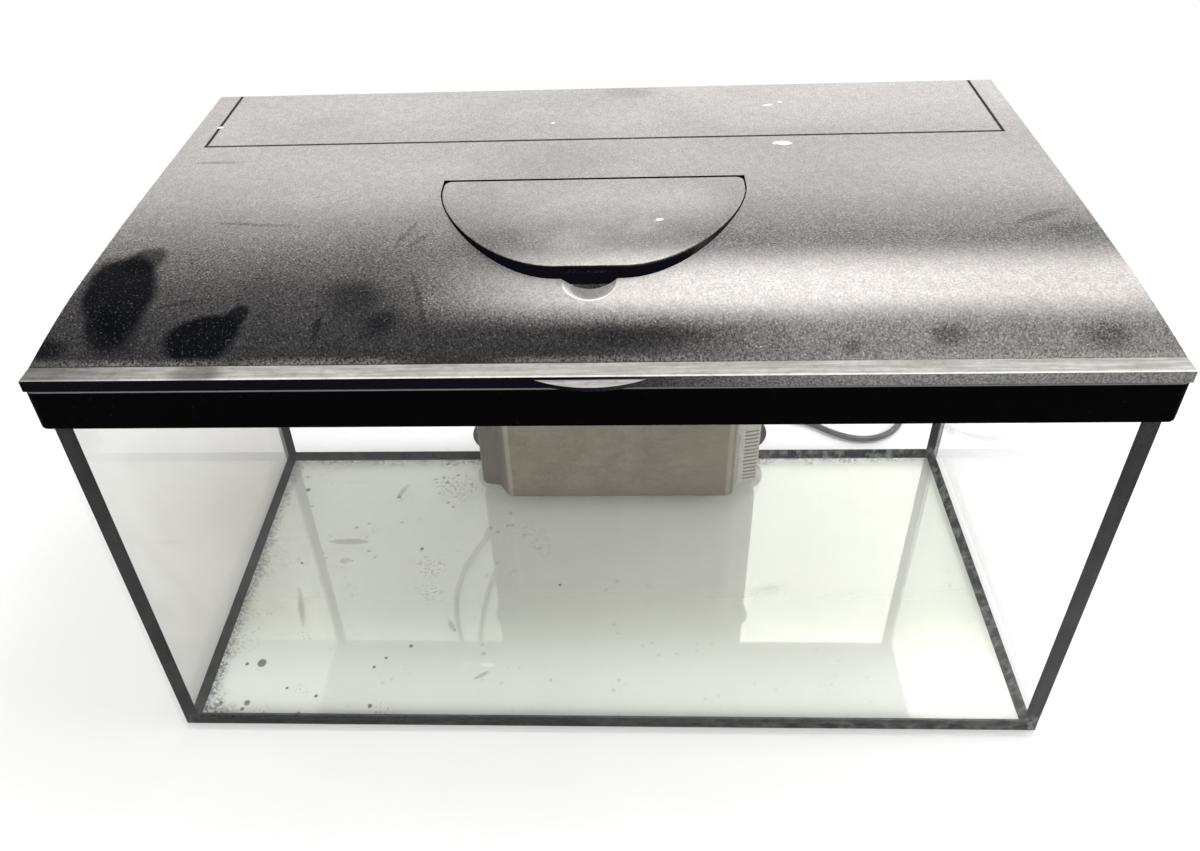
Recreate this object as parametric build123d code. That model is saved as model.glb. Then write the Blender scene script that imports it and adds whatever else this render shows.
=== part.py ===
from build123d import *
import math
import os

os.makedirs("parts", exist_ok=True)

# Glass aquarium with a hinged hood, millimetres. X runs to the right, Y to the rear, Z up.
# The origin is the centre of the tank's underside.

# Tank
tank_width = 600
tank_depth = 300
tank_height = 300
glass = 5
seam_gap = 0.6
bead_leg = 5.5
bead_sagitta = 0.7

# Top frame
frame_height = 25
frame_skirt = 3
frame_web = 5
frame_leg = 2.2
frame_leg_drop = 12
frame_fit = 0.3
frame_corner = 6
frame_edge = 0.8

# Hood
hood_setback = 0.6
hood_rest_gap = 0.3
hood_wall = 2.5
hood_lip = 6.8
hood_rise = 34.6
hood_side_run = 26.2
hood_edge = 3
crown_run = 157.7
crown_radius = 693
brow_angle = 8.7
brow_radius = 58
pull_width = 58
pull_reach = 7
pull_thickness = 2.4
pull_drop = 1.8
pull_x = -0.5

# Hood hinge
hinge_x = 200
hinge_stand_off = 5.5
hinge_lift = 3.7
knuckle_radius = 4
knuckle_length = 20
lug_thickness = 6
lug_gap = 0.5
lug_drop = 10
hood_pin_radius = 2
pin_running_fit = 0.05

# Cable cut-out in the hood's rear wall
cutout_x = -149
cutout_width = 36
cutout_height = 19.4

# Rear service panel
panel_width = 520
panel_run = 58
panel_groove = 0.7
panel_flange = 12
panel_seat_gap = 0.3
shelf_width = 4.5
shelf_thickness = 2.3
panel_leg_x = 150
panel_leg_width = 20
panel_leg_thickness = 2
panel_leg_height = 8

# Feeding flap
flap_x = -1.2
flap_half_width = 90.8
flap_setback = 1
flap_straight = 12
flap_length = 103
flap_front_half = 18
flap_side_handle = 30
flap_front_handle = 35
handle_share = 0.55
flap_plate = 2.4
flap_rim = 2
flap_rim_height = 9.8
flap_gap = 0.8
flap_rear_gap = 1.5
flap_corner = 5
well_wall = 2
well_seat = 5
well_start_run = 20
flap_axis_run = 10
flap_axis_drop = 5.4
flap_pin_radius = 1.5
flap_lug_radius = 2.8
flap_lug_length = 5
flap_boss_radius = 4
flap_boss_length = 6
tab_top_half = 15.5
tab_foot_half = 10.5
tab_reach = 4
tab_height = 3.7
tab_proud = 2
tab_rise = 3.3
scoop_half = 15
scoop_forward = 4.2
scoop_depth = 7.5
scoop_wall = 2.2

# Lamp under the hood
lamp_length = 420
lamp_width = 34
lamp_height = 16
lamp_run = 29
lamp_wall = 2
lamp_drop = 8.3
lamp_boss_x = 150
lamp_boss_radius = 5
lamp_screw_radius = 1.5
lamp_screw_head = 3.2
lamp_cap = 3
lens_thickness = 2
board_thickness = 1.6
board_depth = 5
chip_size = 4
chip_height = 1.2
chip_count = 24
inlet_radius = 5
inlet_length = 9
inlet_bore = 2.8

# Filter box
filter_x = 11.5
filter_stand_off = 7.5
filter_depth = 57.5
filter_floor_z = 11
filter_top_z = 262
filter_front_half = 95.5
filter_step_half = 105
filter_step_depth = 14.7
filter_half = 120.5
filter_shoulder_depth = 18
filter_corner = 6
filter_wall = 2
filter_edge = 5
seat_gap = 0.3
partition_left = -68
partition_right = 72
partition_top_drop = 12
window_width = 30
window_low = 30
window_high = 180
slot_count = 14
slot_pitch = 4
slot_height = 1.6
slot_length = 12
slot_low = 20
slit_length = 4
slit_share = 0.6
cover_thickness = 3
cover_skirt = 7
cover_grip = 44
basket_height = 200
basket_wall = 2
basket_slot_count = 9
basket_slot_low = 15
basket_slot_pitch = 20
basket_slot_height = 10
basket_slot_margin = 6
fleece_drop = 8
sponge_height = 180

# Pump
pump_left = -112
pump_right = -74
pump_rear_gap = 4.6
pump_depth = 32.6
pump_height = 46
pump_corner = 3
volute_x = -96
volute_setback = 18.9
volute_radius = 13
volute_height = 14
volute_wall = 2
pump_cap_thickness = 2.7
cap_hole_radius = 2.5
cap_hole_count = 4
rotor_radius = 5
rotor_well = 5.6
rotor_length = 32
rotor_lift = 4
vane_count = 6
vane_height = 8
vane_thickness = 1.2
vane_gap = 1.5
shaft_radius = 1
shaft_fit = 0.05
shaft_socket = 4

# Outlet
pipe_radius = 6
pipe_bore = 4.5
pipe_x = -81
pipe_setback = 5.9
pipe_z = 244
pipe_bend = 14
pipe_stand_out = 4
nozzle_radius = 9
nozzle_fit = 0.08
nozzle_length = 9.5
nozzle_cup = 4
nozzle_snout = 10
nozzle_root_width = 14.4
nozzle_root_height = 9
nozzle_root_corner = 3
nozzle_mouth_width = 26
nozzle_mouth_height = 8
nozzle_lip = 2

# Suction cups
cup_x = 113.5
cup_low_z = 30
cup_high_z = 225
cup_radius = 19
cup_neck = 3
cup_button = 4.5
cup_button_thickness = 2
cup_shoulder = 3
cup_lip = 1.2
cup_lip_width = 2

# Mains cord
cord_diameter = 5.6
cord_floor = 3
bend_share = 0.45
gland_setback = 4.75
gland_z = 90
gland_collar = 4
gland_length = 10
gland_tilt = 60
gland_foot = 4.5
gland_tip = 3.8
gland_overlap = 1
first_run = 16
coil_x = 240
coil_stand_off = 114.7
coil_radius = 38.5
coil_turns = 3
coil_pitch = 6.4
coil_layer = 6.3
coil_spans_per_turn = 4
coil_check_steps = 240
relief_length = 34
relief_tip = 3.1
relief_foot = 5
plug_width = 26
plug_length = 36
plug_height = 18
plug_pin_radius = 2
plug_pin_length = 19
plug_pin_spacing = 19

# Worked-out places
half_width = tank_width / 2
half_depth = tank_depth / 2
inner_x = half_width - glass
inner_y = half_depth - glass
frame_x = half_width + frame_fit + frame_skirt
frame_y = half_depth + frame_fit + frame_skirt
frame_top = tank_height + frame_fit + frame_web
frame_bottom = frame_top - frame_height
leg_bottom = tank_height + frame_fit - frame_leg_drop
leg_x = inner_x - frame_fit
leg_y = inner_y - frame_fit
window_x = leg_x - frame_leg
window_y = leg_y - frame_leg
hood_x = frame_x - hood_setback
hood_y = frame_y - hood_setback
hood_bottom = frame_top + hood_rest_gap
ledge_z = hood_bottom + hood_lip
hood_top = ledge_z + hood_rise
hood_ceiling = hood_top - hood_wall
hinge_y = hood_y + hinge_stand_off
hinge_z = frame_top + hinge_lift
pull_top = ledge_z - pull_drop
crown_y = crown_run - hood_y
flap_rear_y = crown_y - flap_setback
flap_side_y = flap_rear_y - flap_straight
flap_front_y = flap_rear_y - flap_length
flap_axis_y = flap_rear_y - flap_axis_run
well_start_y = flap_rear_y - well_start_run
lamp_y = crown_y + lamp_run
panel_front_y = crown_y + panel_run
seat_z = hood_top - flap_rim_height - seat_gap
flap_axis_z = hood_top - flap_axis_drop
flap_front_z = hood_top - (crown_y - flap_front_y) ** 2 / (2 * crown_radius)
lamp_top = hood_ceiling - lamp_drop
hinge_reach = knuckle_length / 2 + lug_gap + lug_thickness
filter_rear_y = inner_y - filter_stand_off
filter_front_y = filter_rear_y - filter_depth
filter_step_y = filter_front_y + filter_step_depth
filter_shoulder_y = filter_front_y + filter_shoulder_depth
pump_rear_y = filter_rear_y - pump_rear_gap
pump_front_y = pump_rear_y - pump_depth
volute_y = pump_rear_y - volute_setback
pipe_y = pump_rear_y - pipe_setback
gland_y = filter_rear_y - gland_setback
coil_y = frame_y + coil_stand_off
cord_radius = cord_diameter / 2


def block(x0, x1, y0, y1, z0, z1):
    """A box between two corners."""
    middle = Pos((x0 + x1) / 2, (y0 + y1) / 2, (z0 + z1) / 2)
    return middle * Box(abs(x1 - x0), abs(y1 - y0), abs(z1 - z0))


def rod_x(radius, x0, x1, y, z):
    """A round bar along X."""
    return Pos((x0 + x1) / 2, y, z) * Rot(0, 90, 0) * Cylinder(radius, abs(x1 - x0))


def rod_y(radius, y0, y1, x, z):
    """A round bar along Y."""
    return Pos(x, (y0 + y1) / 2, z) * Rot(90, 0, 0) * Cylinder(radius, abs(y1 - y0))


def rod_z(radius, z0, z1, x, y):
    """A round bar along Z."""
    return Pos(x, y, (z0 + z1) / 2) * Cylinder(radius, z1 - z0)


def prism(face, z0, z1):
    """A plan drawn at Z 0, raised from z0 to z1."""
    return Pos(0, 0, z0) * extrude(face, amount=z1 - z0)


def polygon(points):
    """A face with straight sides."""
    return make_face(Polyline(*points, close=True))


def save(name, pieces):
    """Writes one node, which is one solid or a group of separate ones."""
    solids = []
    for piece in pieces if isinstance(pieces, list) else [pieces]:
        solids.extend(piece.solids())
    node = solids[0] if len(solids) == 1 else Compound(children=solids)
    node.label = name
    export_step(node, f"parts/{name}.step")


# Glass panes: front and rear run the full width, the sides stand between them


def make_panes():
    side_y = inner_y - seam_gap
    base_x = inner_x - seam_gap
    save("front_pane", block(-half_width, half_width, -half_depth, -inner_y, 0, tank_height))
    save("rear_pane", block(-half_width, half_width, inner_y, half_depth, 0, tank_height))
    save("left_pane", block(-half_width, -inner_x, -side_y, side_y, 0, tank_height))
    save("right_pane", block(inner_x, half_width, -side_y, side_y, 0, tank_height))
    save("base_pane", block(-base_x, base_x, -side_y, side_y, 0, glass))


# Sealant


def base_seam():
    """The sealant round the base pane's edge, with a bevelled bead above it."""
    base_x = inner_x - seam_gap
    base_y = inner_y - seam_gap
    ring = block(-inner_x, inner_x, -inner_y, inner_y, 0, glass)
    ring -= block(-base_x, base_x, -base_y, base_y, 0, glass)
    bead_top = glass + bead_leg
    low = Pos(0, 0, glass) * Rectangle(2 * (inner_x - bead_leg), 2 * (inner_y - bead_leg))
    high = Pos(0, 0, bead_top) * Rectangle(2 * inner_x, 2 * inner_y)
    bead = block(-inner_x, inner_x, -inner_y, inner_y, glass, bead_top) - loft([low, high])
    return ring + bead


def corner_seam(side_x, side_y, lower_seam):
    """The sealant in one upright corner: the joint between the edges and the bead inside it."""
    side_end = inner_y - seam_gap
    joint = block(side_x * half_width, side_x * inner_x, side_y * inner_y, side_y * side_end, 0, tank_height)
    corner = (side_x * inner_x, side_y * inner_y)
    along_x = (side_x * (inner_x - bead_leg), side_y * inner_y)
    along_y = (side_x * inner_x, side_y * (inner_y - bead_leg))
    arc_depth = bead_leg / 2 - bead_sagitta
    middle = (side_x * (inner_x - arc_depth), side_y * (inner_y - arc_depth))
    lines = [Line(corner, along_x), ThreePointArc(along_x, middle, along_y), Line(along_y, corner)]
    bead = prism(make_face(Curve() + lines), glass, leg_bottom - frame_fit)
    return joint + (bead - lower_seam)


def make_seams():
    lower = base_seam()
    save("base_seam", lower)
    for name, side_x, side_y in (
        ("front_left_seam", -1, -1),
        ("front_right_seam", 1, -1),
        ("rear_left_seam", -1, 1),
        ("rear_right_seam", 1, 1),
    ):
        save(name, corner_seam(side_x, side_y, lower))


# Top frame with the hinge lugs


def hinge_lug(centre_x):
    """One lug of a hood hinge, standing out behind the frame."""
    x0 = centre_x - lug_thickness / 2
    x1 = centre_x + lug_thickness / 2
    rear = hinge_y + knuckle_radius
    foot = block(x0, x1, frame_y - frame_skirt / 3, rear, hinge_z - lug_drop, frame_top)
    neck = block(x0, x1, hinge_y - knuckle_radius, rear, frame_top, hinge_z)
    return foot + neck + rod_x(knuckle_radius, x0, x1, hinge_y, hinge_z)


def lug_centres():
    reach = hinge_reach - lug_thickness / 2
    return [side * hinge_x + step * reach for side in (-1, 1) for step in (-1, 1)]


def hinge_pins():
    return [
        rod_x(hood_pin_radius, side * hinge_x - hinge_reach, side * hinge_x + hinge_reach, hinge_y, hinge_z)
        for side in (-1, 1)
    ]


def make_frame():
    rim = prism(RectangleRounded(2 * frame_x, 2 * frame_y, frame_corner), frame_bottom, frame_top)
    rim = fillet(rim.faces().sort_by(Axis.Z)[-1].edges(), frame_edge)
    rim = fillet(rim.faces().sort_by(Axis.Z)[0].edges(), frame_edge)
    glass_x = half_width + frame_fit
    glass_y = half_depth + frame_fit
    groove_top = tank_height + frame_fit
    rim -= block(-glass_x, glass_x, -glass_y, glass_y, frame_bottom, leg_bottom)
    channel = block(-glass_x, glass_x, -glass_y, glass_y, leg_bottom, groove_top)
    rim -= channel - block(-leg_x, leg_x, -leg_y, leg_y, leg_bottom, groove_top)
    rim -= block(-window_x, window_x, -window_y, window_y, frame_bottom, frame_top)
    for centre in lug_centres():
        rim += hinge_lug(centre)
    pins = hinge_pins()
    for pin in pins:
        rim -= pin
    save("top_frame", rim)
    save("hood_hinge_pins", pins)


# Hood


def crown_section(inset, bottom):
    """The hood's front-to-rear section, drawn as (Y, Z), with every wall moved in by inset."""
    lean = math.radians(brow_angle)
    crown_centre_z = hood_top - crown_radius
    join_dir = (-math.sin(lean), math.cos(lean))
    brow_centre_y = crown_y + (crown_radius - brow_radius) * join_dir[0]
    brow_centre_z = crown_centre_z + (crown_radius - brow_radius) * join_dir[1]
    big = crown_radius - inset
    small = brow_radius - inset
    crown_start = (crown_y, hood_top - inset)
    crown_middle = (crown_y - big * math.sin(lean / 2), crown_centre_z + big * math.cos(lean / 2))
    join = (brow_centre_y + small * join_dir[0], brow_centre_z + small * join_dir[1])
    level = ledge_z - inset
    foot_angle = math.acos((level - brow_centre_z) / small)
    foot = (brow_centre_y - small * math.sin(foot_angle), level)
    half = (foot_angle + lean) / 2
    brow_middle = (brow_centre_y - small * math.sin(half), brow_centre_z + small * math.cos(half))
    front = -hood_y + inset
    rear = hood_y - inset
    lines = [
        Line(crown_start, (rear, hood_top - inset)),
        Line((rear, hood_top - inset), (rear, bottom)),
        Line((rear, bottom), (front, bottom)),
        Line((front, bottom), (front, level)),
        Line((front, level), foot),
        ThreePointArc(foot, brow_middle, join),
        ThreePointArc(join, crown_middle, crown_start),
    ]
    return make_face(Curve() + lines)


def side_section(inset, bottom):
    """The hood's left-to-right section, drawn as (X, Z)."""
    slope = math.atan2(hood_rise, hood_side_run)
    wall_x = hood_x - inset
    knee_z = ledge_z - inset * math.tan(slope / 2)
    top_z = hood_top - inset
    top_x = wall_x - (top_z - knee_z) / math.tan(slope)
    right = [(wall_x, bottom), (wall_x, knee_z), (top_x, top_z)]
    left = [(-x, z) for x, z in reversed(right)]
    return polygon(right + left)


def hood_body(inset, bottom):
    """The space inside the hood's outer skin, moved in by inset."""
    along_y = Plane.XZ.offset(-hood_y) * side_section(inset, bottom)
    along_x = Plane.YZ.offset(-hood_x) * crown_section(inset, bottom)
    return extrude(along_y, amount=2 * hood_y) & extrude(along_x, amount=2 * hood_x)


def rounded_hood():
    """The hood's outer skin with its upper rear edge eased."""
    body = hood_body(0, hood_bottom)
    rear_top = body.edges().filter_by(Axis.X).group_by(Axis.Z)[-1].sort_by(Axis.Y)[-1]
    return fillet([rear_top], hood_edge)


def flap_outline(grow=0, rear_grow=0):
    """The D of the feeding flap, grown by a gap at its sides and front and by another at its rear."""
    half = flap_half_width + grow
    front = flap_front_y - grow
    rear = flap_rear_y + rear_grow
    handle_shift = handle_share * grow
    curve = [
        (half, flap_side_y),
        (half, flap_side_y - flap_side_handle - handle_shift),
        (flap_half_width - flap_front_handle + handle_shift, front),
        (flap_front_half, front),
    ]
    other_curve = [(-x, y) for x, y in reversed(curve)]
    lines = [
        Line((half, rear), curve[0]),
        Bezier(*curve),
        Line(curve[-1], other_curve[0]),
        Bezier(*other_curve),
        Line(other_curve[-1], (-half, rear)),
        Line((-half, rear), (half, rear)),
    ]
    return Pos(flap_x, 0) * make_face(Curve() + lines)


def scoop_ball(grow):
    """The ball that hollows the finger scoop, as large as its width and depth ask for."""
    radius = (scoop_half**2 + scoop_depth**2) / (2 * scoop_depth)
    middle_y = flap_front_y - flap_gap - scoop_forward
    return Pos(flap_x, middle_y, flap_front_z - scoop_depth + radius) * Sphere(radius + grow)


def feeding_well():
    """The wall and seat that hang under the flap's opening, before the opening is cut."""
    outline = flap_outline(flap_gap + well_wall, flap_rear_gap + well_wall)
    wall = prism(outline, seat_z - well_wall, hood_top)
    inside = hood_body(hood_wall / 2, hood_bottom)
    bowl = scoop_ball(scoop_wall) & inside
    bowl &= block(-half_width, half_width, -hood_y, flap_front_y, hood_bottom, hood_top)
    well = (wall & inside) + bowl
    for side in (-1, 1):
        start = flap_x + side * (flap_half_width + flap_gap)
        end = start + side * flap_boss_length
        well += rod_x(flap_boss_radius, start, end, flap_axis_y, flap_axis_z) & inside
    return well


def cut_feeding_opening(hood):
    """Cuts the flap's opening, its seat, the scoop and the sockets of the flap's pins."""
    opening = flap_outline(flap_gap, flap_rear_gap)
    passage = flap_outline(flap_gap - well_seat, flap_rear_gap - well_seat)
    hood -= prism(opening, seat_z, hood_top + 1)
    hood -= prism(passage, seat_z - 2 * well_wall, seat_z + 1)
    opening_rear = flap_rear_y + flap_rear_gap
    rear_part = block(-half_width, half_width, well_start_y, opening_rear, hood_bottom, hood_top)
    hood -= rear_part & prism(opening, seat_z - 2 * well_wall, hood_top)
    ahead = block(-half_width, half_width, -hood_y, flap_front_y - flap_gap / 2, hood_bottom, 2 * hood_top)
    hood -= scoop_ball(0) & ahead
    for side in (-1, 1):
        x0, x1 = flap_pin_span(side)
        hood -= rod_x(flap_pin_radius, x0, x1, flap_axis_y, flap_axis_z)
    return hood


def flap_pin_span(side):
    """Where one of the flap's pins starts and ends along X."""
    inner = flap_x + side * (flap_half_width - flap_lug_length - seat_gap)
    outer = flap_x + side * (flap_half_width + flap_gap + flap_boss_length)
    return inner, outer


def panel_shelf():
    """The step under the service panel's front and side edges."""
    outer_x = panel_width / 2 + panel_groove
    top = hood_ceiling - panel_seat_gap
    rear = hood_y - hood_wall
    front = panel_front_y - panel_groove
    low = top - shelf_thickness
    wide_x = outer_x + shelf_width
    clear_x = outer_x - shelf_width
    plate = block(-wide_x, wide_x, front - shelf_width, rear, low, hood_ceiling + hood_wall / 2)
    plate -= block(-outer_x, outer_x, front, rear, top, hood_top)
    plate -= block(-clear_x, clear_x, front + shelf_width, rear, low, hood_top)
    return plate


def add_lamp_boss(hood, x):
    """A round boss under the crown, bored for a lamp screw."""
    low = lamp_top + seat_gap
    hood += rod_z(lamp_boss_radius, low, hood_ceiling + hood_wall / 2, x, lamp_y)
    return hood - rod_z(lamp_screw_radius, low, hood_ceiling, x, lamp_y)


def add_knuckle(hood, x):
    """A hinge knuckle behind the hood's rear wall."""
    x0 = x - knuckle_length / 2
    x1 = x + knuckle_length / 2
    hood += block(x0, x1, hood_y - hood_wall / 2, hinge_y, hood_bottom, hinge_z + knuckle_radius)
    hood += rod_x(knuckle_radius, x0, x1, hinge_y, hinge_z)
    return hood - rod_x(hood_pin_radius + pin_running_fit, x0, x1, hinge_y, hinge_z)


def pull_tab():
    """The crescent that stands out from the hood's front, a little below its ledge."""
    radius = (pull_width**2 / 4 + pull_reach**2) / (2 * pull_reach)
    disc = Pos(pull_x, -hood_y - pull_reach + radius) * Circle(radius)
    tab = prism(disc, pull_top - pull_thickness, pull_top)
    front = -hood_y - pull_reach
    return tab & block(-half_width, half_width, front, -hood_y + hood_wall / 2, hood_bottom, ledge_z)


def make_hood():
    skin = rounded_hood()
    hood = skin - hood_body(hood_wall, hood_bottom - 1)
    hood += feeding_well()
    panel_x = panel_width / 2 + panel_groove
    panel_cut_z = hood_ceiling - panel_flange
    hood -= block(-panel_x, panel_x, panel_front_y - panel_groove, hood_y + 1, panel_cut_z, hood_top + 1)
    hood += panel_shelf()
    hood = cut_feeding_opening(hood)
    for side in (-1, 1):
        hood = add_lamp_boss(hood, side * lamp_boss_x)
        hood = add_knuckle(hood, side * hinge_x)
    cut_x0 = cutout_x - cutout_width / 2
    cut_x1 = cutout_x + cutout_width / 2
    cut_top = hood_bottom + cutout_height
    hood -= block(cut_x0, cut_x1, hood_y - 2 * hood_wall, hood_y + 1, hood_bottom, cut_top)
    save("hood", hood + pull_tab())

    panel_half = panel_width / 2
    panel_low = panel_cut_z + panel_groove
    panel = skin & block(-panel_half, panel_half, panel_front_y, hood_y, panel_low, hood_top)
    panel -= block(-hood_x, hood_x, 0, hood_y - hood_wall, hood_bottom, hood_ceiling)
    leg_front = panel_front_y + shelf_width + panel_groove
    leg_rear = leg_front + panel_leg_thickness
    leg_low = hood_ceiling - panel_leg_height
    for side in (-1, 1):
        x0 = side * panel_leg_x - panel_leg_width / 2
        panel += block(x0, x0 + panel_leg_width, leg_front, leg_rear, leg_low, hood_ceiling)
    save("rear_panel", panel)


# Feeding flap


def finger_tab():
    """The tab at the flap's front, which narrows towards its foot."""
    tab_shoulder = flap_front_z + tab_proud
    tab_foot = tab_shoulder - tab_height
    tab_top = tab_shoulder + tab_rise
    right = [(tab_foot_half, tab_foot), (tab_top_half, tab_shoulder), (tab_top_half, tab_top)]
    left = [(-x, z) for x, z in reversed(right)]
    front = Plane.XZ.offset(tab_reach - flap_front_y) * polygon(right + left)
    return Pos(flap_x, 0, 0) * extrude(front, amount=-tab_reach - flap_rim / 2)


def make_flap():
    plate = prism(flap_outline(), hood_top - flap_plate, hood_top)
    corners = plate.edges().filter_by(Axis.Z).group_by(Axis.Y)[-1]
    plate = fillet(corners, flap_corner)
    top_face = plate.faces().sort_by(Axis.Z)[-1]
    plate = fillet(top_face.edges(), flap_rim / 2)
    rim = prism(flap_outline(), hood_top - flap_rim_height, hood_top - flap_plate)
    rim -= prism(flap_outline(-flap_rim, -flap_rim), hood_top - flap_rim_height, hood_top - flap_plate)
    rim -= block(-half_width, half_width, well_start_y - seat_gap, half_depth, hood_bottom, hood_top)
    flap = plate + rim + finger_tab()
    lug_y0 = flap_axis_y - flap_lug_radius
    lug_y1 = flap_axis_y + flap_lug_radius
    pins = []
    for side in (-1, 1):
        x1 = flap_x + side * flap_half_width
        x0 = x1 - side * flap_lug_length
        flap += rod_x(flap_lug_radius, x0, x1, flap_axis_y, flap_axis_z)
        flap += block(x0, x1, lug_y0, lug_y1, flap_axis_z, hood_top - flap_plate)
        flap -= rod_x(flap_pin_radius + pin_running_fit, x0, x1, flap_axis_y, flap_axis_z)
        pins.append(rod_x(flap_pin_radius, *flap_pin_span(side), flap_axis_y, flap_axis_z))
    save("feeding_flap", flap)
    save("flap_hinge_pins", pins)


# Lamp


def make_lamp():
    half = lamp_length / 2
    y0 = lamp_y - lamp_width / 2
    y1 = lamp_y + lamp_width / 2
    low = lamp_top - lamp_height
    housing = block(-half, half, y0, y1, low, lamp_top)
    housing = fillet(housing.edges().filter_by(Axis.X).group_by(Axis.Z)[-1], lamp_wall)
    housing -= block(-half, half, y0 + lamp_wall, y1 - lamp_wall, low, lamp_top - lamp_wall)
    screws = []
    for side in (-1, 1):
        x = side * lamp_boss_x
        housing -= rod_z(lamp_screw_radius + pin_running_fit, low, lamp_top, x, lamp_y)
        shank = rod_z(lamp_screw_radius, lamp_top - lamp_wall, hood_ceiling - 1, x, lamp_y)
        head_top = lamp_top - lamp_wall
        head = rod_z(lamp_screw_head, head_top - lamp_screw_radius, head_top, x, lamp_y)
        screws.append(shank + head)
    save("lamp_housing", housing)
    save("lamp_screws", screws)
    save("lamp_lens", block(-half, half, y0 + lamp_wall, y1 - lamp_wall, low, low + lens_thickness))
    board_top = lamp_top - board_depth
    board_low = board_top - board_thickness
    save("led_board", block(-half, half, y0 + lamp_wall, y1 - lamp_wall, board_low, board_top))
    chips = []
    for index in range(chip_count):
        x = (index + 0.5 - chip_count / 2) * lamp_length / chip_count
        chip = Box(chip_size, chip_size, chip_height)
        chips.append(Pos(x, lamp_y, board_low - chip_height / 2) * chip)
    save("led_chips", chips)
    caps = []
    for side in (-1, 1):
        cap = block(side * half, side * (half + lamp_cap), y0, y1, low, lamp_top)
        caps.append(fillet(cap.edges().filter_by(Axis.X), lamp_wall))
    save("lamp_end_caps", caps)
    start = half + lamp_cap
    middle_z = (low + lamp_top) / 2
    inlet = rod_x(inlet_radius, start, start + inlet_length, lamp_y, middle_z)
    inlet -= rod_x(inlet_bore, start + lamp_cap, start + inlet_length, lamp_y, middle_z)
    save("lamp_inlet", inlet)


# Filter box


def filter_outline(inset=0):
    """The filter's plan: flat front, a step back at each side, rounded shoulders, flat rear."""
    right = [
        (filter_front_half, filter_front_y),
        (filter_step_half, filter_step_y),
        (filter_half, filter_shoulder_y),
        (filter_half, filter_rear_y),
    ]
    left = [(-x, y) for x, y in reversed(right)]
    face = polygon(right + left)
    face = fillet([corner for corner in face.vertices() if corner.Y < filter_rear_y - 1], filter_corner)
    if inset:
        face = offset(face, amount=-inset, kind=Kind.INTERSECTION)
    return Pos(filter_x, 0) * face


def cutter(start, end, share, length):
    """A flat slot across the line from start to end, centred at a share of its run."""
    run_x = end[0] - start[0]
    run_y = end[1] - start[1]
    turn = math.degrees(math.atan2(run_y, run_x))
    middle = Pos(filter_x + start[0] + share * run_x, start[1] + share * run_y)
    return middle * Rot(0, 0, turn) * Box(length, 4 * filter_wall, slot_height)


def corner_slots():
    """The louvre slots through the filter's right shoulder and the slits in the step beside it."""
    front = (filter_front_half, filter_front_y)
    step = (filter_step_half, filter_step_y)
    shoulder = (filter_half, filter_shoulder_y)
    pair = [cutter(step, shoulder, 0.5, slot_length), cutter(front, step, slit_share, slit_length)]
    levels = [slot_low + index * slot_pitch for index in range(slot_count)]
    return [Pos(0, 0, level) * slot for level in levels for slot in pair]


def cup_places():
    return [(filter_x + side * cup_x, z) for side in (-1, 1) for z in (cup_low_z, cup_high_z)]


def partition(x):
    """A wall across the filter with a tall window, let halfway into the walls it meets."""
    half = filter_wall / 2
    front = filter_front_y + half
    rear = filter_rear_y - half
    wall = block(x - half, x + half, front, rear, filter_floor_z + half, filter_top_z - partition_top_drop)
    low = filter_floor_z + filter_wall + window_low
    high = filter_floor_z + filter_wall + window_high
    window_front = (front + rear - window_width) / 2
    window = block(x - filter_wall, x + filter_wall, window_front, window_front + window_width, low, high)
    return wall - window


def make_filter_box():
    inner_front = filter_front_y + filter_wall
    inner_rear = filter_rear_y - filter_wall
    outer = prism(filter_outline(), filter_floor_z, filter_top_z)
    outer = fillet(outer.faces().sort_by(Axis.Z)[0].edges(), filter_edge)
    housing = outer - prism(filter_outline(filter_wall), filter_floor_z + filter_wall, filter_top_z)
    for offset_x in (partition_left, partition_right):
        housing += partition(filter_x + offset_x)
    for slot in corner_slots():
        housing -= slot
    for x, z in cup_places():
        housing -= rod_y(cup_neck + pin_running_fit, inner_rear, filter_rear_y, x, z)
    housing -= rod_y(pipe_radius, filter_front_y, inner_front, filter_x + pipe_x, pipe_z)
    wall_x = filter_x - filter_half
    housing -= rod_x(cord_radius, wall_x, wall_x + filter_wall, gland_y, gland_z)
    save("filter_housing", housing)

    cover_z = filter_top_z + seat_gap
    cover = prism(filter_outline(), cover_z, cover_z + cover_thickness)
    cover = fillet(cover.faces().sort_by(Axis.Z)[-1].edges(), cover_thickness / 2)
    skirt_out = filter_wall + seat_gap
    skirt = prism(filter_outline(skirt_out), filter_top_z - cover_skirt, cover_z)
    skirt -= prism(filter_outline(skirt_out + filter_wall), filter_top_z - cover_skirt, cover_z)
    grip_y = (filter_front_y + filter_rear_y) / 2
    grip = block(
        filter_x - cover_grip / 2, filter_x + cover_grip / 2, grip_y - filter_wall, grip_y + filter_wall,
        cover_z + cover_thickness, cover_z + 3 * cover_thickness,
    )
    save("filter_cover", cover + skirt + fillet(grip.faces().sort_by(Axis.Z)[-1].edges(), filter_wall / 2))


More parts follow.
